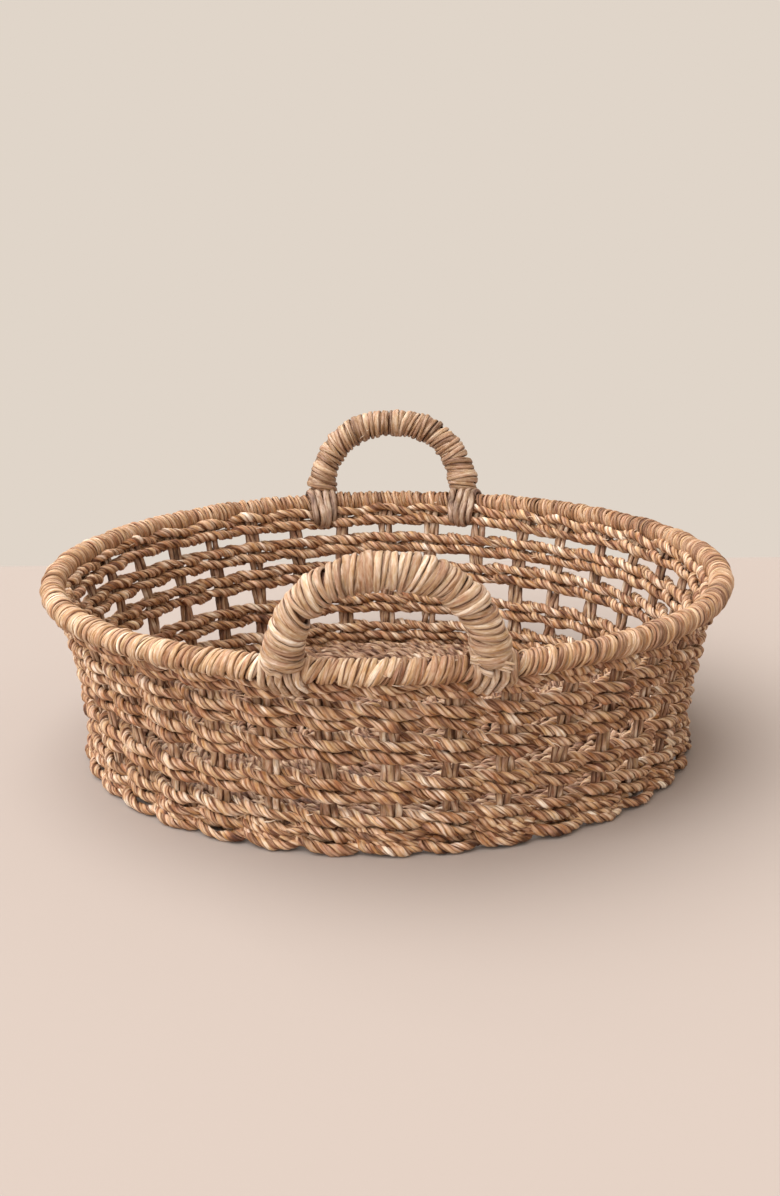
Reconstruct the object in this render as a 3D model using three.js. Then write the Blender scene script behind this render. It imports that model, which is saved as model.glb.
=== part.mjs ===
// Round open-work seagrass basket with a bound rim and two upright bound handles.
// Millimetres, +Z up. The origin is the centre of the underside, on the surface it stands on.
// Thirty-six flat stakes rise from the woven base to the rim hoop. Five bands of twined rope
// hold them, and two more ropes close the base edge. All ropes here are plain tubes.
import * as THREE from 'three';

// ---- Driving dimensions ----
const GAP = 0.3;
const STAKE_COUNT = 36;

const RIM_OUTER_RADIUS = 225;
const RIM_BINDING_RADIUS = 7.9;
const RIM_HOOP_RADIUS = 4.5;
const RIM_HEIGHT = 115.6;
const RIM_RADIUS = RIM_OUTER_RADIUS - RIM_BINDING_RADIUS;
const RIM_BINDING_CLEARANCE = GAP + 0.35;
const RIM_SLOT_CLEARANCE_ANGLE = 0.1;
const RIM_ARC_STEPS = 8;
const RING_SIDES = 6;

const WALL_FOOT_RADIUS = 192;
const WALL_FLARE = 17;
const WALL_TOP_HEIGHT = 106.5;

const STAKE_WIDTH = 8.5;
const STAKE_THICKNESS = 2.8;
const STAKE_FOOT_RADIUS = 175;
const STAKE_FOOT_HEIGHT = 5;
const STAKE_BEND_START_RADIUS = 184;
const STAKE_BEND_RADIUS = 189;
const STAKE_BEND_HEIGHT = 7.2;
const STAKE_WALL_HEIGHTS = [13, 35, 57, 79, WALL_TOP_HEIGHT];

const BAND_HEIGHTS = [101.5, 81.8, 61.5, 39.5, 18];
const ROPE_RADIUS = 3;
const ROPE_REACH = 5.4;
const ROPE_LIFT = 3.4;
const ROPE_SIDES = 4;

const EDGE_ROPE_RADIUS = 2.6;
const EDGE_ROPES = [
  { name: 'base_edge_rope_lower', ring: 193, height: 2.9 },
  { name: 'base_edge_rope_upper', ring: 196.6, height: 7.6 },
];

const BASE_RADIUS = 184;
const BASE_TOP_RADIUS = 180;
const BASE_THICKNESS = 9.8;
const BASE_GROOVE_DEPTH = 10;

const HANDLE_HALF_WIDTH = 56;
const HANDLE_HEIGHT = 60.7;
const HANDLE_ROUNDNESS = 2.3;
const HANDLE_LEAN = THREE.MathUtils.degToRad(12.5);
const HANDLE_BINDING_RADIUS = 10.5;
const HANDLE_CORE_RADIUS = 6;
const HANDLE_CORE_SIDES = 6;
const HANDLE_BINDING_SIDES = 8;
const HANDLE_STEPS = 14;

const LASHING_WIDTH = 22;
const LASHING_THICKNESS = 3;
const LASHING_RIM_CLEARANCE = 0.9;
const LASHING_BAND_RADIUS = 9.6;
const LASHING_ARC_STEPS = 6;
const HANDLE_FOOT = RIM_BINDING_RADIUS + LASHING_RIM_CLEARANCE + LASHING_THICKNESS + 2 * GAP;

// ---- Materials ----
const straw = new THREE.MeshStandardMaterial({ color: 0xcfae84, roughness: 0.75, metalness: 0 });
const rope = new THREE.MeshStandardMaterial({ color: 0xb98b5f, roughness: 0.8, metalness: 0 });
const greyStraw = new THREE.MeshStandardMaterial({ color: 0x947a62, roughness: 0.8, metalness: 0 });
const cane = new THREE.MeshStandardMaterial({ color: 0xc09a68, roughness: 0.6, metalness: 0 });

const basket = new THREE.Group();

function addPiece(name, geometry, material, parent = basket) {
  const mesh = new THREE.Mesh(geometry, material);
  mesh.name = name;
  parent.add(mesh);
  return mesh;
}

// A full turn about the Z axis of an outline given as [radius, height] points.
function turned(outline) {
  const points = outline.map(([radius, height]) => new THREE.Vector2(radius, height));
  const geometry = new THREE.LatheGeometry(points, STAKE_COUNT);
  return geometry.rotateX(Math.PI / 2);
}

// A flat piece with a [radius, height] outline, standing in the plane through the Z axis.
function standing(shape, width) {
  const geometry = new THREE.ExtrudeGeometry(shape, { depth: width, bevelEnabled: false });
  return geometry.translate(0, 0, -width / 2).rotateX(Math.PI / 2);
}

// The section of a round ring, a regular polygon that is closed on its first point.
function ringSection(ring, height, radius) {
  const points = [];
  for (let side = 0; side <= RING_SIDES; side += 1) {
    const angle = 2 * Math.PI * ((side % RING_SIDES) + 0.5) / RING_SIDES;
    points.push([ring + radius * Math.cos(angle), height + radius * Math.sin(angle)]);
  }
  return points;
}

function wallRadius(height) {
  return WALL_FOOT_RADIUS + WALL_FLARE * (height / WALL_TOP_HEIGHT) ** 2;
}

const wallTop = new THREE.Vector2(wallRadius(WALL_TOP_HEIGHT), WALL_TOP_HEIGHT);
const topBand = new THREE.Vector2(wallRadius(BAND_HEIGHTS[0]), BAND_HEIGHTS[0]);
const rimCentre = new THREE.Vector2(RIM_RADIUS, RIM_HEIGHT);
const towardsWall = wallTop.clone().sub(rimCentre).normalize();

// ---- Base: one round woven mat, with a groove in its edge for the feet of the stakes ----
function baseOutline() {
  const grooveLow = STAKE_FOOT_HEIGHT - STAKE_THICKNESS / 2 - GAP;
  const grooveHigh = STAKE_FOOT_HEIGHT + STAKE_THICKNESS / 2 + GAP;
  const grooveBottom = BASE_RADIUS - BASE_GROOVE_DEPTH - GAP;
  return [
    [0, 0],
    [BASE_RADIUS, 0],
    [BASE_RADIUS, grooveLow],
    [grooveBottom, grooveLow],
    [grooveBottom, grooveHigh],
    [BASE_TOP_RADIUS, grooveHigh],
    [BASE_TOP_RADIUS, BASE_THICKNESS],
    [0, BASE_THICKNESS],
  ];
}

// ---- Stakes ----
function stakeShape() {
  const line = [
    new THREE.Vector2(STAKE_FOOT_RADIUS, STAKE_FOOT_HEIGHT),
    new THREE.Vector2(STAKE_BEND_START_RADIUS, STAKE_FOOT_HEIGHT),
    new THREE.Vector2(STAKE_BEND_RADIUS, STAKE_BEND_HEIGHT),
  ];
  for (const height of STAKE_WALL_HEIGHTS) {
    line.push(new THREE.Vector2(wallRadius(height), height));
  }
  line.push(rimCentre.clone().addScaledVector(towardsWall, RIM_HOOP_RADIUS + GAP));
  const half = STAKE_THICKNESS / 2;
  const sides = [[], []];
  line.forEach((point, index) => {
    const before = line[Math.max(index - 1, 0)];
    const after = line[Math.min(index + 1, line.length - 1)];
    const along = after.clone().sub(before).normalize();
    const across = new THREE.Vector2(-along.y, along.x);
    sides[0].push(point.clone().addScaledVector(across, half));
    sides[1].push(point.clone().addScaledVector(across, -half));
  });
  return new THREE.Shape([...sides[1], ...sides[0].reverse()]);
}

// ---- Twined ropes: one rope passes outside a stake while its partner passes inside ----
class TwinedRing extends THREE.Curve {
  constructor(radius, height, startsOutside) {
    super();
    this.radius = radius;
    this.height = height;
    this.startsOutside = startsOutside;
    this.pointCount = 2 * STAKE_COUNT;
  }

  corner(index) {
    const angle = 2 * Math.PI * (index - 0.5) / this.pointCount;
    const stake = Math.floor(index / 2);
    const outside = (stake % 2 === 0) === this.startsOutside;
    const beforeStake = index % 2 === 0;
    const reach = outside ? ROPE_REACH : -ROPE_REACH;
    const lift = outside === beforeStake ? ROPE_LIFT : -ROPE_LIFT;
    const ring = this.radius + reach;
    return new THREE.Vector3(ring * Math.cos(angle), ring * Math.sin(angle), this.height + lift);
  }

  getPoint(t) {
    return this.corner(Math.round(t * this.pointCount) % this.pointCount);
  }

  getPointAt(t) {
    return this.getPoint(t);
  }

  getTangentAt(t) {
    const index = Math.round(t * this.pointCount) % this.pointCount;
    const here = this.corner(index);
    const before = this.corner((index + this.pointCount - 1) % this.pointCount).sub(here).normalize();
    const after = this.corner((index + 1) % this.pointCount).sub(here).normalize();
    return after.sub(before).normalize();
  }
}

function twinedRope(height, startsOutside) {
  const ring = new TwinedRing(wallRadius(height), height, startsOutside);
  return new THREE.TubeGeometry(ring, ring.pointCount, ROPE_RADIUS, ROPE_SIDES, true);
}

// ---- Rim: a bent cane hoop in a binding that is open towards the tops of the stakes ----
function bindingOutline() {
  const slotHalfWidth = STAKE_THICKNESS / 2 + GAP;
  const slot = Math.asin(slotHalfWidth / (RIM_HOOP_RADIUS + GAP)) + RIM_SLOT_CLEARANCE_ANGLE;
  const start = Math.atan2(towardsWall.y, towardsWall.x) + slot;
  const sweep = 2 * Math.PI - 2 * slot;
  const at = (radius, step) => {
    const angle = start + sweep * step / RIM_ARC_STEPS;
    return [RIM_RADIUS + radius * Math.cos(angle), RIM_HEIGHT + radius * Math.sin(angle)];
  };
  const outline = [];
  for (let step = 0; step <= RIM_ARC_STEPS; step += 1) {
    outline.push(at(RIM_BINDING_RADIUS, step));
  }
  for (let step = RIM_ARC_STEPS; step >= 0; step -= 1) {
    outline.push(at(RIM_HOOP_RADIUS + RIM_BINDING_CLEARANCE, step));
  }
  outline.push(outline[0]);
  return outline;
}

// ---- Handles: a rounded arch that leans outwards ----
class HandleArch extends THREE.Curve {
  constructor(footHeight) {
    super();
    this.startAngle = Math.asin((footHeight / HANDLE_HEIGHT) ** (HANDLE_ROUNDNESS / 2));
  }

  getPoint(t) {
    const angle = this.startAngle + (Math.PI - 2 * this.startAngle) * t;
    const across = Math.sign(Math.cos(angle)) * Math.abs(Math.cos(angle)) ** (2 / HANDLE_ROUNDNESS);
    const up = HANDLE_HEIGHT * Math.sin(angle) ** (2 / HANDLE_ROUNDNESS);
    return new THREE.Vector3(HANDLE_HALF_WIDTH * across, 0, up);
  }
}

function roundShape(radius, sides) {
  const points = [];
  for (let side = 0; side < sides; side += 1) {
    const angle = 2 * Math.PI * side / sides;
    points.push(new THREE.Vector2(radius * Math.cos(angle), radius * Math.sin(angle)));
  }
  return points;
}

function handleCore() {
  const shape = new THREE.Shape(roundShape(HANDLE_CORE_RADIUS, HANDLE_CORE_SIDES));
  const path = new HandleArch(HANDLE_FOOT);
  return new THREE.ExtrudeGeometry(shape, { steps: HANDLE_STEPS, extrudePath: path });
}

function handleBinding() {
  const bore = HANDLE_CORE_RADIUS + 2 * GAP;
  const shape = new THREE.Shape(roundShape(HANDLE_BINDING_RADIUS, HANDLE_BINDING_SIDES));
  shape.holes.push(new THREE.Path(roundShape(bore, HANDLE_BINDING_SIDES).reverse()));
  const path = new HandleArch(HANDLE_FOOT);
  return new THREE.ExtrudeGeometry(shape, { steps: HANDLE_STEPS, extrudePath: path });
}

// ---- Lashings: loops round the rim and the top band, under each foot of a handle ----
// The outline of a cord stretched round two circles, one round the rim and one round the band.
function stretchedRound(rimLoop, bandLoop) {
  const between = rimCentre.distanceTo(topBand);
  const facing = Math.atan2(rimCentre.y - topBand.y, rimCentre.x - topBand.x);
  const turn = Math.acos((bandLoop - rimLoop) / between);
  const points = [];
  const arc = (centre, radius, from, to) => {
    for (let step = 0; step <= LASHING_ARC_STEPS; step += 1) {
      const angle = from + (to - from) * step / LASHING_ARC_STEPS;
      const offset = new THREE.Vector2(radius * Math.cos(angle), radius * Math.sin(angle));
      points.push(centre.clone().add(offset));
    }
  };
  arc(rimCentre, rimLoop, facing - turn, facing + turn);
  arc(topBand, bandLoop, facing + turn, facing + 2 * Math.PI - turn);
  return points;
}

function lashing() {
  const rimLoop = RIM_BINDING_RADIUS + LASHING_RIM_CLEARANCE;
  const outer = stretchedRound(rimLoop + LASHING_THICKNESS, LASHING_BAND_RADIUS + LASHING_THICKNESS);
  const inner = stretchedRound(rimLoop, LASHING_BAND_RADIUS);
  const shape = new THREE.Shape(outer);
  shape.holes.push(new THREE.Path(inner.reverse()));
  return standing(shape, LASHING_WIDTH);
}

// ---- Assembly ----
addPiece('base_mat', turned(baseOutline()), rope);

for (const { name, ring, height } of EDGE_ROPES) {
  addPiece(name, turned(ringSection(ring, height, EDGE_ROPE_RADIUS)), rope);
}

const stakeGeometry = standing(stakeShape(), STAKE_WIDTH);
for (let number = 1; number <= STAKE_COUNT; number += 1) {
  const stake = addPiece(`stake_${String(number).padStart(2, '0')}`, stakeGeometry, greyStraw);
  stake.rotation.z = 2 * Math.PI * (number - 1) / STAKE_COUNT;
}

BAND_HEIGHTS.forEach((height, index) => {
  addPiece(`weft_band_${index + 1}_rope_a`, twinedRope(height, true), rope);
  addPiece(`weft_band_${index + 1}_rope_b`, twinedRope(height, false), rope);
});

addPiece('rim_hoop', turned(ringSection(RIM_RADIUS, RIM_HEIGHT, RIM_HOOP_RADIUS)), cane);
addPiece('rim_binding', turned(bindingOutline()), straw);

for (const { side, facing } of [{ side: 'front', facing: -1 }, { side: 'back', facing: 1 }]) {
  const handle = new THREE.Group();
  handle.position.set(0, facing * RIM_RADIUS, RIM_HEIGHT);
  handle.rotation.x = -facing * HANDLE_LEAN;
  basket.add(handle);
  addPiece(`${side}_handle_core`, handleCore(), cane, handle);
  addPiece(`${side}_handle_binding`, handleBinding(), straw, handle);

  const footAngle = Math.asin(HANDLE_HALF_WIDTH / RIM_RADIUS);
  for (const { end, turn } of [{ end: 'left', turn: -1 }, { end: 'right', turn: 1 }]) {
    const loop = addPiece(`${side}_handle_lashing_${end}`, lashing(), greyStraw);
    loop.rotation.z = facing * (Math.PI / 2 - turn * footAngle);
  }
}

export default basket;
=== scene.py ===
"""A round open-work seagrass basket: twined rope bands on upright stakes, a bound rim, two bound handles.

Everything is in metres, in the frame of the CAD model. The basket is one stiff body.
"""
import math

import bpy
import numpy as np
from mathutils import Matrix, Vector


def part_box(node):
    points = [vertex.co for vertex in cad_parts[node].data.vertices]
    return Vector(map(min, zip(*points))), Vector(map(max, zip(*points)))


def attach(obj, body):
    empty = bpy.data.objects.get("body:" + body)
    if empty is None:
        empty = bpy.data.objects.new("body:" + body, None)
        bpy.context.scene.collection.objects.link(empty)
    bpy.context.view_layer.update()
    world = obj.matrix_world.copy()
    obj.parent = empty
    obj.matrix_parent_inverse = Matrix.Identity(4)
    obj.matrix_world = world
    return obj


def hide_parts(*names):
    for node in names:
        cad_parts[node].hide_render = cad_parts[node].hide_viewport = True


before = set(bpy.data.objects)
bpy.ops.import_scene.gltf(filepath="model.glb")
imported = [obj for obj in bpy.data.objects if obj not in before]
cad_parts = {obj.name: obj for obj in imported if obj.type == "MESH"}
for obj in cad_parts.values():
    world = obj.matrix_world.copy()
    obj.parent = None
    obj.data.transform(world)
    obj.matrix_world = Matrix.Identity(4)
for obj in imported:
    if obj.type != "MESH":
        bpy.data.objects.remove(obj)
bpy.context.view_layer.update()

MM = 0.001
TAU = 2 * math.pi


def middle_height(node):
    """The height halfway up a CAD node."""
    lowest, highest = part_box(node)
    return (lowest[2] + highest[2]) / 2


# ---- Driving dimensions, from the CAD boxes and the construction of the basket ----
RIM_WRAP_RADIUS = 7.9 * MM
RIM_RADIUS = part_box("rim_binding")[1][0] - RIM_WRAP_RADIUS
RIM_HEIGHT = middle_height("rim_hoop")
RIM_TURNS = 244

STAKES = 36
WALL_FOOT_RADIUS = 192 * MM
WALL_FLARE = 17 * MM
WALL_TOP = 106.5 * MM
CORNER_RADIUS = 6 * MM
BASE_MIDDLE_HEIGHT = 6.4 * MM

# Each band's rows lie this far above the middle of its CAD ropes, from the top band down.
BAND_RISE = [4.1 * MM, 3.0 * MM, 2.8 * MM, -0.4 * MM, -1.2 * MM]
ROW_HEIGHTS = [
    middle_height(f"weft_band_{band}_rope_a") + rise for band, rise in enumerate(BAND_RISE, 1)
]
ROW_SPACING = 7.8 * MM
BASE_ROW_SPACING = 6.6 * MM
ROPE_RADIUS = 3.5 * MM
ROPE_PITCH = 18 * MM
ROPE_SIDES = 18
TWINE_REACH = 4.5 * MM
TWINE_LIFT = 1.5 * MM

HANDLE_HALF_WIDTH = 56 * MM
HANDLE_HEIGHT = 60.7 * MM
HANDLE_ROUNDNESS = 2.3
HANDLE_LEAN = math.radians(12.5)
HANDLE_WRAP_RADIUS = 9.4 * MM
HANDLE_PITCH = 6.5 * MM

# Each handle: the way it faces along Y, how far it sits to the right, and its seed and lightness.
HANDLES = {
    "front": {"facing": -1, "shift": 0.0, "seed": 501, "level": 0.47},
    "back": {"facing": 1, "shift": 5 * MM, "seed": 502, "level": 0.42},
}

# Each handle's lashings: how many strands lie side by side and how wide they are together, their
# lightness, how much they draw together under the rim (or spread, below zero), and their grass.
LASHINGS = {
    "front": {
        "strands": 5, "width": 22 * MM, "level": 0.54, "closing": -0.2,
        "material": "handle_straw", "slot": "binding_straw",
    },
    "back": {
        "strands": 4, "width": 20 * MM, "level": 0.38, "closing": 0.3,
        "material": "lashing", "slot": "stake_grass",
    },
}


# ---- Small helpers ----
def unit(vectors):
    """The same directions with length one."""
    shortest = 1e-12
    return vectors / np.maximum(np.linalg.norm(vectors, axis=-1, keepdims=True), shortest)


def ripple(rng, slowest, fastest, terms=7):
    """A smooth periodic wobble of unit size, as a function of a position that runs from 0 to 1."""
    speeds = rng.integers(slowest, fastest + 1, terms)
    starts = rng.uniform(0, TAU, terms)

    def wobble(u):
        u = np.asarray(u)[..., None]
        return np.cos(TAU * speeds * u + starts).sum(-1) * math.sqrt(2 / terms)

    return wobble


def cycles(length, each, least):
    """How many stretches of about one size fit in a length, but at least a few."""
    return max(least, int(length / each))


def per_turn(rng, wrap, spread):
    """A value for each turn of a winding, blending smoothly into the next turn's."""
    number = np.floor(wrap).astype(int)
    values = rng.uniform(-spread, spread, number.max() + 2)
    blend = 0.5 - 0.5 * np.cos(math.pi * (wrap - number))
    return values[number] * (1 - blend) + values[number + 1] * blend


def along(points, closed):
    """The distance to each point of a path, and its whole length."""
    after = np.roll(points, -1, 0) if closed else points[1:]
    steps = np.linalg.norm(after - points[: len(after)], axis=1)
    reached = np.concatenate([[0], np.cumsum(steps)])
    return (reached[:-1], reached[-1]) if closed else (reached, reached[-1])


def tangents(points, closed):
    """The heading at each point of a path."""
    if closed:
        return unit(np.roll(points, -1, 0) - np.roll(points, 1, 0))
    return unit(np.gradient(points, axis=0))


def around(radius, height, angle):
    """Points at a radius, a height and an angle round the basket's axis."""
    height = np.broadcast_to(height, angle.shape)
    return np.stack([radius * np.cos(angle), radius * np.sin(angle), height], -1)


# ---- Strands ----
BLADE_DRIFT = 1.2
BLADE_ROUGHNESS = 0.2
GROOVE_SHARPNESS = 1.5
GRAIN_LENGTH = 8 * MM
GRAIN_TWIST = 0.25
GRAIN_PLACES = 50


class Batch:
    """Collects many strands into one mesh, with what the materials read at each point."""

    def __init__(self):
        self.points = []
        self.faces = []
        self.ends = []
        self.grain = []
        self.tone = []
        self.painted_shade = []
        self.count = 0

    def strand(self, centre, out, width, thickness, sides, closed, tone, rng, ridges=4, depth=0.1, spin=0.0,
               edge=0.0, groove=0.5, streak=0.12, under=1.0, sides_dark=0.0):
        """A strand swept along a path: wide across, thin along out, and made of blades with grooves between.

        There are as many blades as ridges, turning by spin radians for each metre, and the grooves
        take depth of the strand's size. The blades' lightness differs by up to streak. Groove, under,
        sides_dark and edge paint shade into the grooves, onto the lower side, onto the two edges and
        over the whole strand.
        """
        count = len(centre)
        heading = tangents(centre, closed)
        side = unit(np.cross(out, heading))
        face = np.cross(heading, side)
        reached, length = along(centre, closed)
        turn = TAU * np.arange(sides) / sides
        drift = BLADE_DRIFT * ripple(rng, 1, 5)(reached / length)
        phase = spin * reached[:, None] + drift[:, None] + rng.uniform(0, TAU)
        blade = ridges * turn[None] + phase
        hollow = 1 - np.abs(np.cos(blade / 2))
        rough = BLADE_ROUGHNESS * depth * rng.standard_normal((count, sides))
        size = 1 - depth * hollow ** GROOVE_SHARPNESS + rough
        width = np.broadcast_to(width, count)[:, None]
        thickness = np.broadcast_to(thickness, count)[:, None]
        across = 0.5 * width * np.sin(turn) * size
        outward = 0.5 * thickness * np.cos(turn) * size
        points = centre[:, None] + across[..., None] * side[:, None] + outward[..., None] * face[:, None]
        self.points.append(points.reshape(-1, 3))
        self.skin(count, sides, closed)

        angle = turn[None] + GRAIN_TWIST * phase
        place = np.stack([np.cos(angle), np.sin(angle), np.broadcast_to(reached[:, None], angle.shape)], -1)
        place = place * [1, 1, 1 / GRAIN_LENGTH] + rng.uniform(-GRAIN_PLACES, GRAIN_PLACES, 3)
        self.grain.append(place.reshape(-1, 3))
        shades = rng.uniform(-streak, streak, ridges)
        number = np.floor((blade + math.pi) / TAU).astype(int) % ridges
        tones = np.broadcast_to(tone, count)[:, None] + shades[number]
        self.tone.append(tones.reshape(-1))
        # Painted shade: darker on the lower side, at the two edges, in the grooves between blades, and over
        # the whole strand by edge.
        shade = (under * (0.5 - 0.5 * np.cos(turn)) + sides_dark * np.sin(turn) ** 2)[None]
        creases = shade + groove * hollow ** 2 + np.broadcast_to(edge, count)[:, None]
        self.painted_shade.append(creases.reshape(-1))

    def skin(self, count, sides, closed):
        """The faces between a strand's rings of points, and across its two ends if it is open."""
        index = self.count + np.arange(count * sides).reshape(count, sides)
        after = np.roll(index, -1, 0) if closed else index[1:]
        here = index if closed else index[:-1]
        quads = np.stack([here, after, np.roll(after, -1, 1), np.roll(here, -1, 1)], -1)
        self.faces.append(quads.reshape(-1, 4))
        if not closed:
            self.ends.append(index[0])
            self.ends.append(index[-1][::-1])
        self.count += count * sides

    def mesh(self, name):
        """One Blender mesh of all the strands, with the attributes that the grass materials read."""
        points = np.concatenate(self.points)
        quads = np.concatenate(self.faces)
        corners = np.concatenate([quads.ravel(), *self.ends])
        sizes = np.array([4] * len(quads) + [len(end) for end in self.ends])
        starts = np.concatenate([[0], np.cumsum(sizes)[:-1]])
        mesh = bpy.data.meshes.new(name)
        mesh.vertices.add(len(points))
        mesh.vertices.foreach_set("co", points.astype(np.float32).ravel())
        mesh.loops.add(len(corners))
        mesh.loops.foreach_set("vertex_index", corners.astype(np.int32))
        mesh.polygons.add(len(sizes))
        mesh.polygons.foreach_set("loop_start", starts.astype(np.int32))
        mesh.update(calc_edges=True)
        mesh.polygons.foreach_set("use_smooth", np.ones(len(sizes), bool))
        grain = mesh.attributes.new("grain", "FLOAT_VECTOR", "POINT")
        grain.data.foreach_set("vector", np.concatenate(self.grain).astype(np.float32).ravel())
        for label, values in (("tone", self.tone), ("painted_shade", self.painted_shade)):
            layer = mesh.attributes.new(label, "FLOAT", "POINT")
            layer.data.foreach_set("value", np.concatenate(values).astype(np.float32))
        mesh.validate()
        return mesh

    def piece(self, name, material, replaced=()):
        """The piece made of all the strands, standing for the CAD nodes that it replaces."""
        made = bpy.data.objects.new(name, self.mesh(name))
        bpy.context.scene.collection.objects.link(made)
        made.data.materials.append(material)
        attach(made, "root")
        if replaced:
            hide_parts(*replaced)


# ---- Loose fibres ----
# Where fibres have come loose, noted while the cords and windings are made: a point on a strand,
# the strand's heading there and the way out of it.
LOOSE_ENDS = []
LOWEST_LOOSE_END = 16 * MM
FIBRE_STEPS = 8
FIBRE_SIDES = 5


def loose_fibre(batch, rng, start, heading, away):
    """One fibre that has come away from a strand: it lifts off, bends and tapers to a thin end."""
    length = rng.uniform(3, 9) * MM
    width = rng.uniform(0.4, 0.9) * MM
    tone = rng.uniform(0.6, 1.0)
    lift = rng.uniform(0.05, 0.5)
    swerve = rng.uniform(-0.6, 0.6)
    curve = rng.uniform(-1.1, -0.2)
    direction = rng.choice([-1, 1])
    root_depth = 0.3 * MM
    u = np.linspace(0, 1, FIBRE_STEPS)
    side = np.cross(heading, away)
    line = u[:, None] * heading * direction
    line = line + (lift * (u + curve * u ** 2))[:, None] * away + (swerve * u ** 2)[:, None] * side
    path = start - root_depth * away + length * line
    taper = width * (1 - 0.75 * u ** 2)
    batch.strand(
        path, np.broadcast_to(away, path.shape), taper, 0.5 * taper, FIBRE_SIDES, False, tone, rng,
        ridges=2, groove=0, under=0.2,
    )


def build_loose_fibres(materials):
    rng = np.random.default_rng(701)
    batch = Batch()
    for start, heading, away in LOOSE_ENDS:
        loose_fibre(batch, rng, start, heading, away)
    batch.piece("loose_fibres", materials["rope"])


# ---- Cords and windings ----
# A ply's place and size, as shares of the cord's radius.
PLY_OFFSET = 0.43
PLY_WIDTH = 1.5
PLY_THICKNESS = 1.14
PLY_SPIN = -60

# The length over which each kind of unevenness comes and goes along a cord.
TONE_PATCH = 11 * MM
SWAY_PATCH = 60 * MM
GIRTH_PATCH = 25 * MM
SWELL_PATCH = 9 * MM

WRAP_BLADES = 3
WRAP_TWIST = 0.35
WRAP_THICKNESS = 0.62
WRAP_LOOSE_ENDS = 0.06


def tone_along(rng, points, level, spread, closed=True):
    """A strand's lightness from 0 to 1: its own level, with drifts along its length."""
    reached, length = along(points, closed)
    drift = ripple(rng, 1, cycles(length, TONE_PATCH, 3), 15)(reached / length)
    return np.clip(level + spread * drift, 0, 1)


def cord(batch, path, out, closed, radius, rng, level, sides=ROPE_SIDES, spread=0.2, fray=0.0):
    """A two-ply twisted cord laid along a path. Fray is the number of loose fibres for each metre of ply."""
    reached, length = along(path, closed)
    u = reached / length
    heading = tangents(path, closed)
    up = unit(np.cross(out, heading))
    facing = np.cross(heading, up)
    turns = max(1, round(length / ROPE_PITCH)) if closed else length / ROPE_PITCH
    sway = 0.7 * ripple(rng, 2, cycles(length, SWAY_PATCH, 3))(u)
    girth = radius * (1 + 0.08 * ripple(rng, 2, cycles(length, GIRTH_PATCH, 3), 9)(u))
    for ply in range(2):
        angle = -TAU * turns * u + ply * math.pi + sway + rng.uniform(0, 0.3)
        away = np.cos(angle)[:, None] * facing + np.sin(angle)[:, None] * up
        swell = 1 + 0.14 * ripple(rng, 4, cycles(length, SWELL_PATCH, 5), 11)(u)
        centre = path + (PLY_OFFSET * girth)[:, None] * away
        tone = tone_along(rng, path, level + rng.uniform(-0.04, 0.04), spread, closed)
        batch.strand(
            centre, away, PLY_WIDTH * girth * swell, PLY_THICKNESS * girth * swell, sides, closed, tone, rng,
            ridges=int(rng.integers(3, 6)), depth=0.18, spin=PLY_SPIN, streak=0.07, groove=0.95, edge=0.04,
        )
        for place in rng.integers(2, len(path) - 2, rng.poisson(fray * length)):
            surface = centre[place] + 0.5 * PLY_THICKNESS * girth[place] * away[place]
            if surface[2] > LOWEST_LOOSE_END:
                LOOSE_ENDS.append((surface, heading[place], away[place]))


def winding(batch, rng, frame_at, start, turns, pitch, lie, width, bulge, share, steps, sides, lean, tilting,
            straying, level, pinch, growth=None):
    """Strips wound round a tube side by side, each turn made of blades that roll round each other.

    A strip lies at the radius lie, is width wide and stands up by bulge, and share is a blade's part
    of its width. Turns lean to one side, tilt and stray unevenly. Pinch is a strip's width round the
    tube, and growth how much further out it lies along the tube.
    """
    wrap = np.arange(turns * steps + 1) / steps
    spin = TAU * wrap
    place = start + pitch * wrap + (lean + per_turn(rng, wrap, tilting)) * np.sin(spin)
    place = place + per_turn(rng, wrap, straying)
    centre, heading, front, upper = frame_at(place)
    out = np.cos(spin)[:, None] * front + np.sin(spin)[:, None] * upper
    lie = lie + per_turn(rng, wrap, straying)
    if growth is not None:
        lie = lie + growth(place)
    narrow = (1 + per_turn(rng, wrap, 0.16)) * pinch(spin)
    twist = TAU * WRAP_TWIST * wrap + 1.5 * per_turn(rng, wrap, 1.0)
    tones = level + per_turn(rng, wrap, 0.18)
    blade_width = share * width
    for blade in range(WRAP_BLADES):
        turn = twist + TAU * blade / WRAP_BLADES + per_turn(rng, wrap, 0.3)
        aside = 0.5 * (width - blade_width) * np.cos(turn)
        lift = 0.5 * bulge * np.sin(turn)
        path = centre + (lie + lift)[:, None] * out + (aside * narrow)[:, None] * heading
        facing = unit(out + (1.6 * aside / width)[:, None] * heading)
        tone = np.clip(tones + rng.uniform(-0.06, 0.06) + per_turn(rng, wrap, 0.14), 0, 1)
        widths = blade_width * narrow * (1 + per_turn(rng, wrap, 0.2))
        batch.strand(
            path, facing, widths, WRAP_THICKNESS * blade_width, sides, False, tone, rng,
            ridges=3, depth=0.14, spin=25, edge=0.04, groove=0.6, streak=0.08,
        )
        for index in rng.integers(2, len(path) - 2, rng.poisson(WRAP_LOOSE_ENDS * turns)):
            LOOSE_ENDS.append((path[index] + 0.3 * blade_width * out[index], heading[index], out[index]))


def shade_tube(batch, rng, path, out, radius):
    """A dark tube inside a winding: painted shade, seen in the gaps between its turns."""
    batch.strand(path, out, 2 * radius, 2 * radius, 16, False, 0.3, rng, ridges=9, depth=0.03, edge=0.55)


# ---- The wall's section: from the middle of the base, round the corner and up to the rim ----
SECTION_STEP = 2 * MM
CORNER_POINTS = 9
SECTION_REACH_IN_RIM = 9 * MM
SECTION_STEP_IN_RIM = 1.5 * MM


def wall_radius(height):
    """The distance from the axis to the stakes' line at a height."""
    return WALL_FOOT_RADIUS + WALL_FLARE * (height / WALL_TOP) ** 2


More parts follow.
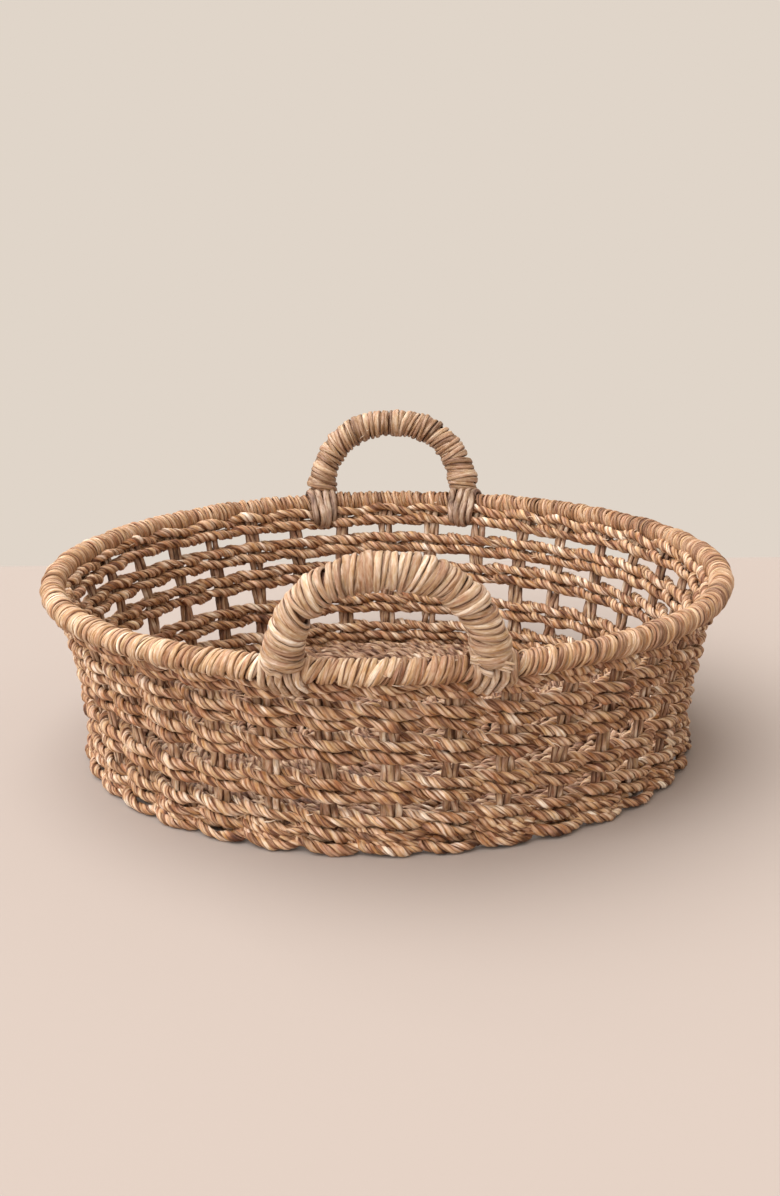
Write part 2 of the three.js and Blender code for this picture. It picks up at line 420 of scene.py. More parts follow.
def wall_section():
    """Points of the stakes' line, as distance from the axis and height."""
    corner_middle = WALL_FOOT_RADIUS - CORNER_RADIUS
    line = [(radius, BASE_MIDDLE_HEIGHT) for radius in np.arange(0, corner_middle, SECTION_STEP)]
    for angle in np.linspace(-math.pi / 2, 0, CORNER_POINTS):
        line.append((
            corner_middle + CORNER_RADIUS * math.cos(angle),
            BASE_MIDDLE_HEIGHT + CORNER_RADIUS + CORNER_RADIUS * math.sin(angle),
        ))
    foot = BASE_MIDDLE_HEIGHT + CORNER_RADIUS
    for height in np.arange(foot + SECTION_STEP, WALL_TOP, SECTION_STEP):
        line.append((wall_radius(height), height))
    top = np.array([wall_radius(WALL_TOP), WALL_TOP])
    towards = unit(np.array([RIM_RADIUS, RIM_HEIGHT]) - top)
    for step in np.arange(0, SECTION_REACH_IN_RIM, SECTION_STEP_IN_RIM):
        line.append(tuple(top + step * towards))
    return np.array(line)


SECTION = wall_section()
SECTION_REACHED = along(SECTION, False)[0]
SECTION_HEADING = tangents(SECTION, False)


def on_section(distance):
    """Radius, height and heading of the stakes' line at a distance along it."""
    values = [
        np.interp(distance, SECTION_REACHED, column)
        for column in (SECTION[:, 0], SECTION[:, 1], SECTION_HEADING[:, 0], SECTION_HEADING[:, 1])
    ]
    return values[0], values[1], np.stack(values[2:], -1)


def at_height(height):
    """The distance along the section where the wall has a height."""
    just_above = 1e-6
    corner = np.searchsorted(SECTION[:, 1], BASE_MIDDLE_HEIGHT + just_above)
    return np.interp(height, SECTION[corner:, 1], SECTION_REACHED[corner:])


def wall_normal(heading, angle):
    """The way out of the wall at an angle, square to the section's heading."""
    return np.stack([heading[:, 1] * np.cos(angle), heading[:, 1] * np.sin(angle), -heading[:, 0]], -1)


# Where the base turns up into the wall, as a distance along the section.
EDGE_LINE = at_height(9 * MM)


# ---- Stakes ----
STAKE_PIECES = 4
STAKE_BLADES = 4
STAKE_STEPS = 86
STAKE_SIDES = 14
STAKE_IN_BASE = 60 * MM
STAKE_BLADE_SPREAD = 3.5 * MM
STAKE_BLADE_DEPTH = 1.1 * MM
STAKE_BLADE_THICKNESS = 2.6 * MM

stake_rng = np.random.default_rng(11)
STAKE_ANGLES = TAU * np.arange(STAKES) / STAKES + np.radians(stake_rng.uniform(-0.4, 0.4, STAKES))


def build_stake(batch, rng, middle_angle):
    """One stake: blades that roll round each other, from the base's outer rows up into the rim."""
    distance = np.linspace(EDGE_LINE - STAKE_IN_BASE, SECTION_REACHED[-1], STAKE_STEPS)
    u = np.linspace(0, 1, STAKE_STEPS)
    radius, height, heading = on_section(distance)
    lean = rng.uniform(-1.8, 1.8) * MM
    level = 0.48 + rng.uniform(-0.1, 0.1)
    turning = TAU * rng.uniform(0.8, 1.6) * rng.choice([-1, 1]) * u + rng.uniform(0, TAU)
    for blade in range(STAKE_BLADES):
        turned = turning + TAU * blade / STAKE_BLADES
        across = STAKE_BLADE_SPREAD * np.cos(turned) + 0.45 * MM * ripple(rng, 2, 7)(u)
        depth = STAKE_BLADE_DEPTH * np.sin(turned)
        angle = middle_angle + (across + lean * (u - 0.5)) / radius
        out = wall_normal(heading, angle)
        path = around(radius, height, angle) + depth[:, None] * out
        tone = tone_along(rng, path, level + rng.uniform(-0.16, 0.16), 0.12, closed=False)
        batch.strand(
            path, out, rng.uniform(4.0, 5.0) * MM, STAKE_BLADE_THICKNESS, STAKE_SIDES, False, tone, rng,
            ridges=5, depth=0.18, spin=rng.uniform(-60, 60), edge=0.06, under=0.0, sides_dark=0.6,
        )


def build_stakes(materials):
    rng = np.random.default_rng(12)
    for number, stakes in enumerate(np.array_split(np.arange(STAKES), STAKE_PIECES), 1):
        batch = Batch()
        for stake in stakes:
            build_stake(batch, rng, STAKE_ANGLES[stake])
        replaced = [f"stake_{stake + 1:02d}" for stake in stakes]
        batch.piece(f"stakes_{number}", materials["stake"], replaced)


# ---- Twined rows ----
ROW_STEP = 2.1 * MM
TWINE_SQUARENESS = 0.85
TWINE_FRAY = 8.0


def twine_phase(angle, stakes=STAKES):
    """Half a turn of twining for each stake, counted at the stakes' own uneven places."""
    places = STAKE_ANGLES if stakes == STAKES else TAU * np.arange(stakes) / stakes
    known = np.concatenate([places[-2:] - TAU, places, places[:2] + TAU])
    return np.interp(angle, known, math.pi * np.arange(-2, stakes + 2))


def swung(phase, squareness):
    """A swing between -1 and 1 that stays longer at its ends the lower its squareness."""
    return np.sign(np.cos(phase)) * np.abs(np.cos(phase)) ** squareness


def twined_row(batch, distance, rng, level, stakes=STAKES, reach=TWINE_REACH, lift=TWINE_LIFT,
               radius=ROPE_RADIUS, sides=ROPE_SIDES, step=ROW_STEP, sway=None, start=0, fray=TWINE_FRAY):
    """Two cords that take turns outside and inside the stakes, crossing between them."""
    ring = on_section(distance)[0]
    count = int(TAU * ring / step)
    angle = TAU * np.arange(count) / count
    u = angle / TAU
    drift = 0.2 * MM * ripple(rng, 2, 14, 9)(u)
    if sway is not None:
        drift = drift + sway(u)
    for rope in range(2):
        phase = twine_phase(angle, stakes) + math.pi * (rope + start)
        rope_level = level + rng.uniform(-0.05, 0.05)
        place = distance + drift - lift * np.sin(phase) + 0.25 * MM * ripple(rng, 20, 60, 9)(u)
        radial, height, heading = on_section(place)
        away = reach * swung(phase, TWINE_SQUARENESS) * (1 + 0.08 * ripple(rng, 10, 40, 9)(u))
        normal = wall_normal(heading, angle)
        path = around(radial, height, angle) + away[:, None] * normal
        squeeze = radius * (1 - 0.07 * np.sin(phase) ** 2)
        cord(batch, path, normal, True, squeeze, rng, rope_level, sides, 0.14, fray)


def build_bands(materials):
    for band, height in enumerate(ROW_HEIGHTS, 1):
        rng = np.random.default_rng(100 + band)
        batch = Batch()
        middle = at_height(height)
        wave = ripple(rng, 2, 12, 9)
        for row in (1, -1):
            twined_row(
                batch, middle + row * ROW_SPACING / 2, rng, 0.52 + 0.04 * row,
                sway=lambda u: 0.55 * MM * wave(u),
            )
        replaced = [f"weft_band_{band}_rope_a", f"weft_band_{band}_rope_b"]
        batch.piece(f"twined_band_{band}", materials["rope"], replaced)


# ---- The bottom edge, where the weave turns under ----
EDGE_SQUARENESS = 0.75

# The doubled cord just above the edge: two cords, one over the other, that pass the stakes together.
DOUBLED_CORD = {
    "radius": 194.0 * MM, "height": 10.4 * MM, "tilt": -0.15, "reach": 4.8 * MM, "lift": 0,
    "thick": 2.7 * MM, "level": 0.52, "shift": math.pi, "stack": 4.1 * MM,
}
# The row on the edge, and the next one in.
BOTTOM_ROWS = [
    {
        "radius": 195.0 * MM, "height": 5.8 * MM, "tilt": -0.40, "reach": 4.8 * MM, "lift": 0.9 * MM,
        "thick": 3.35 * MM, "level": 0.5,
    },
    {
        "radius": 184.5 * MM, "height": 4.6 * MM, "tilt": -1.4, "reach": 2.6 * MM, "lift": 1.0 * MM,
        "thick": 2.6 * MM, "level": 0.5,
    },
]


def edge_row(batch, rng, radius, height, tilt, reach, lift, thick, level, shift=0.0, stack=0.0):
    """Two cords round a ring, each swinging along a tilted line past the stakes.

    They cross between the stakes, or with a stack lie that far apart and swing together.
    """
    count = int(TAU * radius / ROW_STEP)
    angle = TAU * np.arange(count) / count
    outward = np.array([math.cos(tilt), math.sin(tilt)])
    upward = np.array([-math.sin(tilt), math.cos(tilt)])
    for rope in range(2):
        opposite = 0 if stack else rope
        phase = twine_phase(angle) + math.pi * opposite + shift
        swing = reach * swung(phase, EDGE_SQUARENESS)
        rise = -lift * np.sin(phase) + stack * (rope - 0.5)
        rise = rise + 0.4 * MM * ripple(rng, 3, 40, 9)(angle / TAU)
        ring = radius + swing * outward[0] + rise * upward[0]
        level_height = height + swing * outward[1] + rise * upward[1]
        normal = around(outward[0], outward[1], angle)
        cord(batch, around(ring, level_height, angle), normal, True, thick, rng, level)


def build_base_edge(materials):
    rng = np.random.default_rng(201)
    batch = Batch()
    edge_row(batch, rng, **DOUBLED_CORD)
    batch.piece("base_edge_doubled_cord", materials["rope"], ["base_edge_rope_upper"])
    batch = Batch()
    for row in BOTTOM_ROWS:
        edge_row(batch, rng, **row)
    batch.piece("base_edge_bottom_rows", materials["rope"], ["base_edge_rope_lower"])


# ---- Base ----
BASE_PIECES = 4
BASE_OUTER_ROW = EDGE_LINE - 13.4 * MM
BASE_INNER_ROW = 12 * MM
BASE_LEVEL = 0.44
COIL_RADIUS = 10.5 * MM
COIL_TURNS = 1.9
COIL_STEPS = 80


def stakes_crossed(distance):
    """The number of stakes that a row of the base crosses: fewer towards the middle."""
    for nearest, stakes in ((110 * MM, STAKES), (55 * MM, STAKES // 2), (30 * MM, STAKES // 3)):
        if distance > nearest:
            return stakes
    return STAKES // 6


def base_coil(batch, rng):
    """The small coil that the base starts from, in its middle."""
    u = np.linspace(0, 1, COIL_STEPS)
    coil = around(COIL_RADIUS * (1 - 0.92 * u), BASE_MIDDLE_HEIGHT, COIL_TURNS * TAU * u)
    upright = np.tile([0, 0, 1.0], (COIL_STEPS, 1))
    cord(batch, coil, upright, False, 2.9 * MM, rng, BASE_LEVEL, sides=10, spread=0.1)


def build_base(materials):
    rng = np.random.default_rng(301)
    rows = np.arange(BASE_OUTER_ROW, BASE_INNER_ROW, -BASE_ROW_SPACING)
    for number, part in enumerate(np.array_split(rows, BASE_PIECES), 1):
        batch = Batch()
        for distance in part:
            twined_row(
                batch, distance, rng, BASE_LEVEL, stakes_crossed(distance), reach=2.5 * MM, lift=1.0 * MM,
                radius=3.0 * MM, sides=8, step=3.0 * MM, start=rng.uniform(0, 2), fray=3.0,
            )
        if number == BASE_PIECES:
            base_coil(batch, rng)
        replaced = ["base_mat"] if number == 1 else []
        batch.piece(f"base_rows_{number}", materials["rope_inner"], replaced)


# ---- Rim binding ----
RIM_PIECES = 4
RIM_WRAP_STEPS = 24
RIM_WRAP_LIE = 6.1 * MM
RIM_WRAP_WIDTH = 7.6 * MM
# Painted light: the rim's binding is palest towards this angle, the left front, as if that side stood nearer
# a lamp.
RIM_PAINTED_LIGHT_SIDE = math.radians(222)
# The radius of the dark tube of painted shade inside the rim's binding, and its number of points.
RIM_SHADE_TUBE_RADIUS = 5.0 * MM
RIM_SHADE_TUBE_STEPS = 121


def rim_frame(place):
    """The rim's middle line, heading, way out and way up at a distance round it."""
    angle = place / RIM_RADIUS
    out = around(1.0, 0.0, angle)
    heading = np.stack([-np.sin(angle), np.cos(angle), np.zeros_like(angle)], -1)
    return around(RIM_RADIUS, RIM_HEIGHT, angle), heading, out, np.broadcast_to([0, 0, 1.0], out.shape)


def rim_pinch(spin):
    return 0.78 + 0.22 * np.cos(spin - 0.3) ** 2


def build_rim(materials):
    rng = np.random.default_rng(401)
    pitch = TAU * RIM_RADIUS / RIM_TURNS
    turns = RIM_TURNS // RIM_PIECES
    for part in range(RIM_PIECES):
        batch = Batch()
        start = part * turns * pitch
        wound = start + pitch * np.arange(turns * RIM_WRAP_STEPS + 1) / RIM_WRAP_STEPS
        # Painted light: the binding's lightness rises towards the left front and falls away from it.
        winding(
            batch, rng, rim_frame, start, turns, pitch, RIM_WRAP_LIE, RIM_WRAP_WIDTH, bulge=1.4 * MM,
            share=0.46, steps=RIM_WRAP_STEPS, sides=10, lean=2.2 * MM, tilting=1.7 * MM, straying=0.7 * MM,
            level=0.44 + 0.09 * np.cos(wound / RIM_RADIUS - RIM_PAINTED_LIGHT_SIDE), pinch=rim_pinch,
        )
        # A dark tube of painted shade inside this part of the binding.
        angle = np.linspace(part, part + 1, RIM_SHADE_TUBE_STEPS) * TAU / RIM_PIECES
        ring = around(RIM_RADIUS, RIM_HEIGHT, angle)
        shade_tube(batch, rng, ring, around(1.0, 0.0, angle), RIM_SHADE_TUBE_RADIUS)
        replaced = ["rim_binding"] if part == 0 else []
        batch.piece(f"rim_binding_{part + 1}", materials["rim_straw"], replaced)


# ---- Handles ----
HANDLE_ARCH_POINTS = 1201
HANDLE_WRAP_START = 4.5 * MM
# The dark tube of painted shade inside each handle's winding: how far from each foot it starts, its radius,
# and every how many arch points it follows.
HANDLE_SHADE_TUBE_START = 9 * MM
HANDLE_SHADE_TUBE_RADIUS = 6.4 * MM
HANDLE_SHADE_TUBE_STEP = 12

# The winding is thicker this far from a foot, over about this length, and thinner where it starts.
FOOT_SWELL_PLACE = 13 * MM
FOOT_SWELL_LENGTH = 8 * MM
FOOT_SWELL = 1.5 * MM
FOOT_THINNING = 2.5 * MM
FOOT_THIN_LENGTH = 7 * MM


def handle_arch(facing, shift, t):
    """Points of a handle's middle line: t from 0 at its left foot to 1 at its right foot."""
    angle = math.pi * (1 - t)
    across = np.sign(np.cos(angle)) * np.abs(np.cos(angle)) ** (2 / HANDLE_ROUNDNESS)
    rise = HANDLE_HEIGHT * np.abs(np.sin(angle)) ** (2 / HANDLE_ROUNDNESS)
    return np.stack([
        shift + HANDLE_HALF_WIDTH * across,
        facing * (RIM_RADIUS + rise * math.sin(HANDLE_LEAN)),
        RIM_HEIGHT + rise * math.cos(HANDLE_LEAN),
    ], -1)


def handle_pinch(spin):
    return 0.96 + 0.14 * np.sin(spin)


def build_handle(side, facing, shift, seed, level, materials):
    rng = np.random.default_rng(seed)
    arch = handle_arch(facing, shift, np.linspace(0, 1, HANDLE_ARCH_POINTS))
    reached, length = along(arch, False)
    arch_heading = tangents(arch, False)
    front = np.array([0, -math.cos(HANDLE_LEAN), facing * math.sin(HANDLE_LEAN)])

    def frame_at(place):
        centre = np.stack([np.interp(place, reached, column) for column in arch.T], -1)
        heading = unit(np.stack([np.interp(place, reached, column) for column in arch_heading.T], -1))
        upper = unit(np.cross(front, heading))
        return centre, heading, np.broadcast_to(front, heading.shape), upper

    def growth(place):
        from_foot = np.minimum(place, length - place)
        swell = FOOT_SWELL * np.exp(-((from_foot - FOOT_SWELL_PLACE) / FOOT_SWELL_LENGTH) ** 2)
        return swell - FOOT_THINNING * (from_foot < FOOT_THIN_LENGTH)

    wound = length - 2 * HANDLE_WRAP_START
    turns = int(wound / HANDLE_PITCH)
    batch = Batch()
    winding(
        batch, rng, frame_at, HANDLE_WRAP_START, turns, wound / turns, HANDLE_WRAP_RADIUS - 0.7 * MM,
        width=9.4 * MM, bulge=1.8 * MM, share=0.44, steps=30, sides=12, lean=1.2 * MM, tilting=2.2 * MM,
        straying=0.75 * MM, level=level, pinch=handle_pinch, growth=growth,
    )
    # A dark tube of painted shade inside the winding, along the arch.
    inside = (reached > HANDLE_SHADE_TUBE_START) & (reached < length - HANDLE_SHADE_TUBE_START)
    core = arch[inside][::HANDLE_SHADE_TUBE_STEP]
    shade_tube(batch, rng, core, np.broadcast_to(front, core.shape), HANDLE_SHADE_TUBE_RADIUS)
    name = f"{side}_handle_wraps"
    batch.piece(name, materials["handle_straw"], [f"{side}_handle_binding"])


# ---- Lashings ----
LASHING_STEPS = 72
LASHING_SIDES = 18
LASHING_GAP = 1.1 * MM
LASHING_ROW_RADIUS = 8.6 * MM
LASHING_ROUNDING = 2.0 * MM
LASHING_THICKNESS = 4.4 * MM


def lashing_loop(rim_radius, row_radius):
    """A loop round the rim and the row under it, as points in the upright plane, and the way out of it."""
    rim = np.array([RIM_RADIUS, RIM_HEIGHT])
    row = np.array([wall_radius(WALL_TOP) - 0.5 * MM, ROW_HEIGHTS[0] + 2.5 * MM])
    between = np.linalg.norm(rim - row)
    facing = math.atan2(rim[1] - row[1], rim[0] - row[0])
    turn = math.acos((row_radius - rim_radius) / between)
    upper = np.linspace(facing - turn, facing + turn, LASHING_STEPS // 2)
    lower = np.linspace(facing + turn, facing + TAU - turn, LASHING_STEPS // 2)
    loop = np.concatenate([
        rim + rim_radius * np.stack([np.cos(upper), np.sin(upper)], -1),
        row + row_radius * np.stack([np.cos(lower), np.sin(lower)], -1),
    ])
    reached, length = along(loop, False)
    even = np.linspace(0, length, LASHING_STEPS + 1)[:-1]
    flat = np.stack([np.interp(even, reached, loop[:, axis]) for axis in range(2)], -1)
    return flat, unit(flat - (rim + row) / 2)


def lashing_strand(batch, rng, middle, share, strands, width, level, closing):
    """One closed strand of a lashing: share is its place across, from -1 to 1."""
    row_radius = LASHING_ROW_RADIUS - LASHING_ROUNDING * share ** 2
    flat, away = lashing_loop(RIM_WRAP_RADIUS + LASHING_GAP, row_radius)
    low = np.clip((RIM_HEIGHT + 6 * MM - flat[:, 1]) / (20 * MM), 0, 1)
    u = np.arange(LASHING_STEPS) / LASHING_STEPS
    strand_width = width / strands
    spread = 0.5 * (width - strand_width) * share
    tangential = spread * (1.12 - closing * low ** 2) + 0.35 * MM * ripple(rng, 1, 3)(u)
    angle = middle + tangential / RIM_RADIUS
    centre = around(flat[:, 0], flat[:, 1], angle)
    out = np.stack([away[:, 0] * np.cos(angle), away[:, 0] * np.sin(angle), away[:, 1]], -1)
    tone = np.clip(level + rng.uniform(-0.12, 0.12) + 0.1 * ripple(rng, 1, 4)(u), 0, 1)
    batch.strand(
        centre, out, 1.12 * strand_width, LASHING_THICKNESS, LASHING_SIDES, True, tone, rng,
        depth=0.13, spin=rng.uniform(-25, 25), streak=0.08, groove=0.7, sides_dark=0.15,
    )


def build_lashings(materials):
    rng = np.random.default_rng(601)
    for side, lashing in LASHINGS.items():
        handle = HANDLES[side]
        for end, turn in (("left", -1), ("right", 1)):
            batch = Batch()
            offset = math.asin((turn * HANDLE_HALF_WIDTH + handle["shift"]) / RIM_RADIUS)
            middle = handle["facing"] * (math.pi / 2 - offset)
            for share in np.linspace(-1, 1, lashing["strands"]):
                lashing_strand(
                    batch, rng, middle, share, lashing["strands"], lashing["width"], lashing["level"],
                    lashing["closing"],
                )
            name = f"{side}_lashing_{end}_turns"
            replaced = [f"{side}_handle_lashing_{end}"]
            batch.piece(name, materials[lashing["material"]], replaced)


def build_strip_end(materials):
    """The loose, ragged end of the front handle's binding, laid across its right foot."""
    rng = np.random.default_rng(651)
    batch = Batch()
    strips = 4
    u = np.linspace(0, 1, 24)
    arched = np.sin(math.pi * u)
    foot = np.array([HANDLE_HALF_WIDTH, -RIM_RADIUS, RIM_HEIGHT])
    for share in np.linspace(-1, 1, strips):
        across = (-12 + 22 * u + rng.uniform(-1, 2.5) * u) * MM
        front = -(9.0 + 1.3 * arched + 0.5 * share) * MM
        rise = (9.5 - 5.5 * u + 1.1 * share + 1.2 * share * u ** 2 + 1.2 * arched) * MM
        path = foot + np.stack([across, front, rise], -1)
        away = unit(np.stack([0.3 * (u - 0.5), -np.ones_like(u), np.full_like(u, 0.35)], -1))
        width = rng.uniform(2.8, 3.6) * MM * (1 - 0.7 * u ** 4)
        tone = rng.uniform(0.5, 0.72)
        batch.strand(
            path, away, width, 1.5 * MM, 10, False, tone, rng, ridges=3, depth=0.15, under=0.7, groove=0.6,
        )
    batch.piece("front_handle_strip_end", materials["handle_straw"])


# ---- Materials ----
GRAIN_DEPTH = 0.5 * MM
# The dark brown that the painted shade in grooves, creases and lower sides goes towards.
PAINTED_SHADE_COLOUR = (0.26, 0.13, 0.06, 1)

# Each grass's roughness, and its colours from its darkest blades to its palest.
GRASSES = {
    "rope": (0.6, [
        (0.09, 0.033, 0.012), (0.38, 0.192, 0.09), (0.64, 0.42, 0.25), (0.88, 0.75, 0.60),
    ]),
    "rope_inner": (0.62, [
        (0.09, 0.039, 0.018), (0.30, 0.163, 0.09), (0.51, 0.345, 0.22), (0.78, 0.65, 0.51),
    ]),
    "stake": (0.62, [
        (0.09, 0.040, 0.019), (0.31, 0.172, 0.095), (0.53, 0.355, 0.225), (0.80, 0.665, 0.52),
    ]),
    "lashing": (0.6, [
        (0.09, 0.048, 0.028), (0.29, 0.18, 0.115), (0.48, 0.34, 0.24), (0.70, 0.58, 0.46),
    ]),
    "rim_straw": (0.52, [
        (0.11, 0.047, 0.019), (0.38, 0.202, 0.10), (0.63, 0.42, 0.25), (0.90, 0.76, 0.59),
    ]),
    "handle_straw": (0.52, [
        (0.11, 0.052, 0.025), (0.38, 0.225, 0.126), (0.62, 0.445, 0.295), (0.90, 0.79, 0.66),
    ]),
}


def new_material(name):
    """A new node material, with its nodes, its links and its shader."""
    material = bpy.data.materials.new(name)
    material.use_nodes = True
    nodes = material.node_tree.nodes
    return material, nodes, material.node_tree.links, nodes["Principled BSDF"]


def grass_material(name, roughness, colours):
    """Dry grass: a tone for each strand, fine fibres along it, and painted shade in the creases between
    strands.
    """
    material, nodes, links, shader = new_material(name)

    def noise(scale, detail, source):
        made = nodes.new("ShaderNodeTexNoise")
        made.inputs["Scale"].default_value = scale
        made.inputs["Detail"].default_value = detail
        made.inputs["Roughness"].default_value = 0.65
        links.new(source, made.inputs["Vector"])
        return made.outputs["Fac"]

    def ranged(value, low, high, result_low, result_high):
        made = nodes.new("ShaderNodeMapRange")
        links.new(value, made.inputs["Value"])
        made.inputs["From Min"].default_value = low
        made.inputs["From Max"].default_value = high
        made.inputs["To Min"].default_value = result_low
        made.inputs["To Max"].default_value = result_high
        return made.outputs["Result"]

    def total(one, other):
        made = nodes.new("ShaderNodeMath")
        made.operation = "ADD"
        links.new(one, made.inputs[0])
        links.new(other, made.inputs[1])
        return made.outputs["Value"]

    def attribute(label, output):
        made = nodes.new("ShaderNodeAttribute")
        made.attribute_name = label
        return made.outputs[output]

    tone = attribute("tone", "Fac")
    grain = attribute("grain", "Vector")
    painted_shade = attribute("painted_shade", "Fac")
    stretch = nodes.new("ShaderNodeMapping")
    stretch.inputs["Scale"].default_value = (1.0, 1.0, 0.14)
    links.new(grain, stretch.inputs["Vector"])
    fibre = noise(5.0, 3.0, stretch.outputs["Vector"])
    patch = noise(1.3, 2.0, grain)
    hue = noise(0.7, 1.0, grain)

    # The tone, moved up and down by the fibres and by soft patches.
    level = total(tone, total(ranged(fibre, 0.25, 0.75, -0.12, 0.12), ranged(patch, 0.3, 0.7, -0.16, 0.16)))
    ramp = nodes.new("ShaderNodeValToRGB")
    stops = ramp.color_ramp.elements
    stops[0].color = (*colours[0], 1)
    stops[1].color = (*colours[-1], 1)
    for number, colour in enumerate(colours[1:-1], 1):
        stop = stops.new(number / (len(colours) - 1))
        stop.color = (*colour, 1)
    links.new(level, ramp.inputs["Fac"])

    # Some stretches are more orange, others greyer and pinker.
    tint = nodes.new("ShaderNodeHueSaturation")
    links.new(ranged(hue, 0.3, 0.7, 0.508, 0.488), tint.inputs["Hue"])
    links.new(ranged(patch, 0.3, 0.7, 1.18, 0.84), tint.inputs["Saturation"])
    links.new(ramp.outputs["Color"], tint.inputs["Color"])

    # Painted shade: the strands' grooves, lower sides and edges are darkened towards a dark brown.
    darker = nodes.new("ShaderNodeMix")
    darker.data_type = "RGBA"
    darker.blend_type = "MULTIPLY"
    links.new(ranged(painted_shade, 0.2, 0.85, 0.0, 0.9), darker.inputs["Factor"])
    links.new(tint.outputs["Color"], darker.inputs["A"])
    darker.inputs["B"].default_value = PAINTED_SHADE_COLOUR
    links.new(darker.outputs["Result"], shader.inputs["Base Color"])

    links.new(ranged(fibre, 0.2, 0.8, roughness + 0.12, roughness - 0.12), shader.inputs["Roughness"])
    shader.inputs["Specular IOR Level"].default_value = 0.45

    bump = nodes.new("ShaderNodeBump")
    bump.inputs["Strength"].default_value = 0.7
    bump.inputs["Distance"].default_value = GRAIN_DEPTH
    links.new(fibre, bump.inputs["Height"])
    links.new(bump.outputs["Normal"], shader.inputs["Normal"])
    return material


def cane_material():
    """Bare cane under the bindings: fine dark pores on a brown ground."""
    material, nodes, links, shader = new_material("cane")
    place = nodes.new("ShaderNodeTexCoord")
    pores = nodes.new("ShaderNodeTexNoise")
    pores.inputs["Scale"].default_value = 260
    pores.inputs["Detail"].default_value = 4
    ramp = nodes.new("ShaderNodeValToRGB")
    ramp.color_ramp.elements[0].color = (0.10, 0.055, 0.03, 1)
    ramp.color_ramp.elements[1].color = (0.26, 0.16, 0.09, 1)
    links.new(place.outputs["Object"], pores.inputs["Vector"])
    links.new(pores.outputs["Fac"], ramp.inputs["Fac"])
    links.new(ramp.outputs["Color"], shader.inputs["Base Color"])
    shader.inputs["Roughness"].default_value = 0.6
    return material


def paint_cane():
    """Gives the rim's hoop and the handles' cores, which keep their CAD shapes, the cane material."""
    cane = cane_material()
    for node in ("rim_hoop", "front_handle_core", "back_handle_core"):
        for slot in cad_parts[node].material_slots:
            slot.link = "OBJECT"
            slot.material = cane


# ---- Camera, light and floor ----
CAMERA_DISTANCE = 1062.5 * MM
CAMERA_HEIGHT = 392 * MM
CAMERA_SIDE = 1.9 * MM
CAMERA_PITCH = math.radians(15.55)
CAMERA_ROLL = math.radians(-0.7)
CAMERA_LENS = 49.9666
CAMERA_SENSOR = 36.0

BACKDROP_COLOUR = (0.745, 0.665, 0.584, 1)
FLOOR_COLOUR = (0.385, 0.325, 0.29, 1)
LAMP_COLOUR = (0.97, 0.985, 1.0)

# Each lamp: the way towards it, how many degrees of sky it fills, and its strength.
LAMPS = {
    "key": ((-0.40, 0.10, 0.91), 75, 3.5),
    "fill": ((-0.5, -0.7, 0.5), 60, 2.0),
}

# The floor ends this far behind the basket, where the backdrop's sheet goes on just below it.
FLOOR_EDGE = 0.475
FLOOR_REACH = 4
BACKDROP_REACH = 12
BACKDROP_DROP = 2 * MM


def floor_material():
    """The plain matt floor."""
    material, _, _, shader = new_material("floor")
    shader.inputs["Base Color"].default_value = FLOOR_COLOUR
    shader.inputs["Roughness"].default_value = 0.7
    shader.inputs["Specular IOR Level"].default_value = 0.2
    return material


def backdrop_material():
    """The even backdrop colour, the same as the world's."""
    material, _, _, shader = new_material("backdrop")
    shader.inputs["Base Color"].default_value = (0, 0, 0, 1)
    shader.inputs["Specular IOR Level"].default_value = 0
    shader.inputs["Emission Color"].default_value = BACKDROP_COLOUR
    shader.inputs["Emission Strength"].default_value = 1
    return material


def link_new(name, data):
    """A new object in the scene."""
    made = bpy.data.objects.new(name, data)
    bpy.context.scene.collection.objects.link(made)
    return made


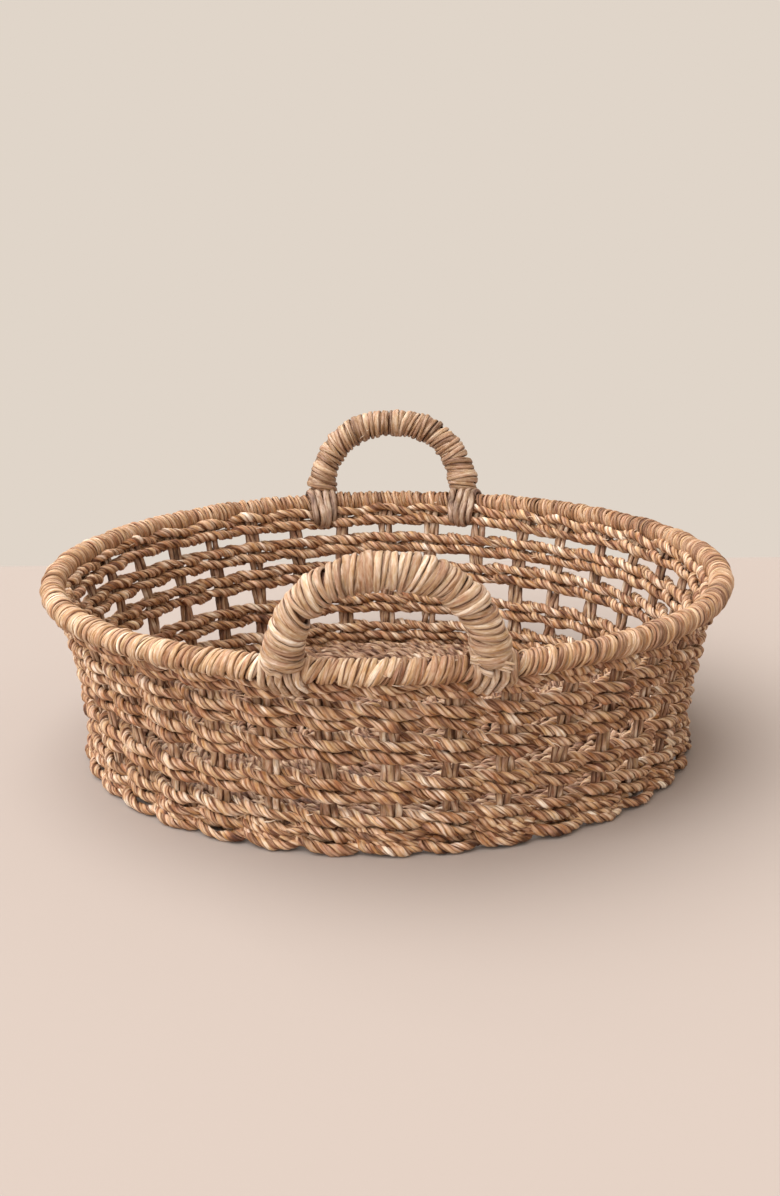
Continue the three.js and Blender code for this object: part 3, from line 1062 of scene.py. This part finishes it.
def build_camera():
    data = bpy.data.cameras.new("camera")
    data.sensor_fit = "AUTO"
    data.sensor_width = CAMERA_SENSOR
    data.lens = CAMERA_LENS
    data.clip_start = 0.01
    data.clip_end = 50
    camera = link_new("camera", data)
    camera.location = (CAMERA_SIDE, -CAMERA_DISTANCE, CAMERA_HEIGHT)
    camera.rotation_mode = "XYZ"
    camera.rotation_euler = (math.pi / 2 - CAMERA_PITCH, 0, 0)
    bpy.context.view_layer.update()
    camera.matrix_world = camera.matrix_world @ Matrix.Rotation(CAMERA_ROLL, 4, "Z")
    bpy.context.scene.camera = camera


def build_light():
    world = bpy.data.worlds.new("world")
    bpy.context.scene.world = world
    world.use_nodes = True
    background = world.node_tree.nodes["Background"]
    background.inputs["Color"].default_value = BACKDROP_COLOUR
    background.inputs["Strength"].default_value = 1.0
    for name, (towards, softness, strength) in LAMPS.items():
        lamp = bpy.data.lights.new(name, "SUN")
        lamp.angle = math.radians(softness)
        lamp.energy = strength
        lamp.color = LAMP_COLOUR
        made = link_new(name, lamp)
        made.location = Vector(towards) * 2
        made.rotation_mode = "QUATERNION"
        made.rotation_quaternion = Vector(towards).to_track_quat("Z", "Y")


def floor_sheet(name, reach, near, far, height, material):
    """A flat sheet that goes as far as its reach to both sides, from near to far along Y."""
    mesh = bpy.data.meshes.new(name)
    corners = [(-reach, near, height), (reach, near, height), (reach, far, height), (-reach, far, height)]
    mesh.from_pydata(corners, [], [(0, 1, 2, 3)])
    made = link_new(name, mesh)
    made.data.materials.append(material)


def build_floor():
    floor_sheet("floor", FLOOR_REACH, -FLOOR_REACH, FLOOR_EDGE, 0.0, floor_material())
    floor_sheet(
        "floor_beyond", BACKDROP_REACH, FLOOR_EDGE, BACKDROP_REACH, -BACKDROP_DROP, backdrop_material(),
    )


# ---- The scene ----
build_camera()
build_light()
build_floor()
bpy.context.scene.view_settings.view_transform = "Standard"

MATERIALS = {
    name: grass_material(name, roughness, colours) for name, (roughness, colours) in GRASSES.items()
}
paint_cane()

build_stakes(MATERIALS)
build_bands(MATERIALS)
build_base_edge(MATERIALS)
build_base(MATERIALS)
build_rim(MATERIALS)
for side, handle in HANDLES.items():
    build_handle(side, **handle, materials=MATERIALS)
build_lashings(MATERIALS)
build_strip_end(MATERIALS)
build_loose_fibres(MATERIALS)

bpy.context.view_layer.update()
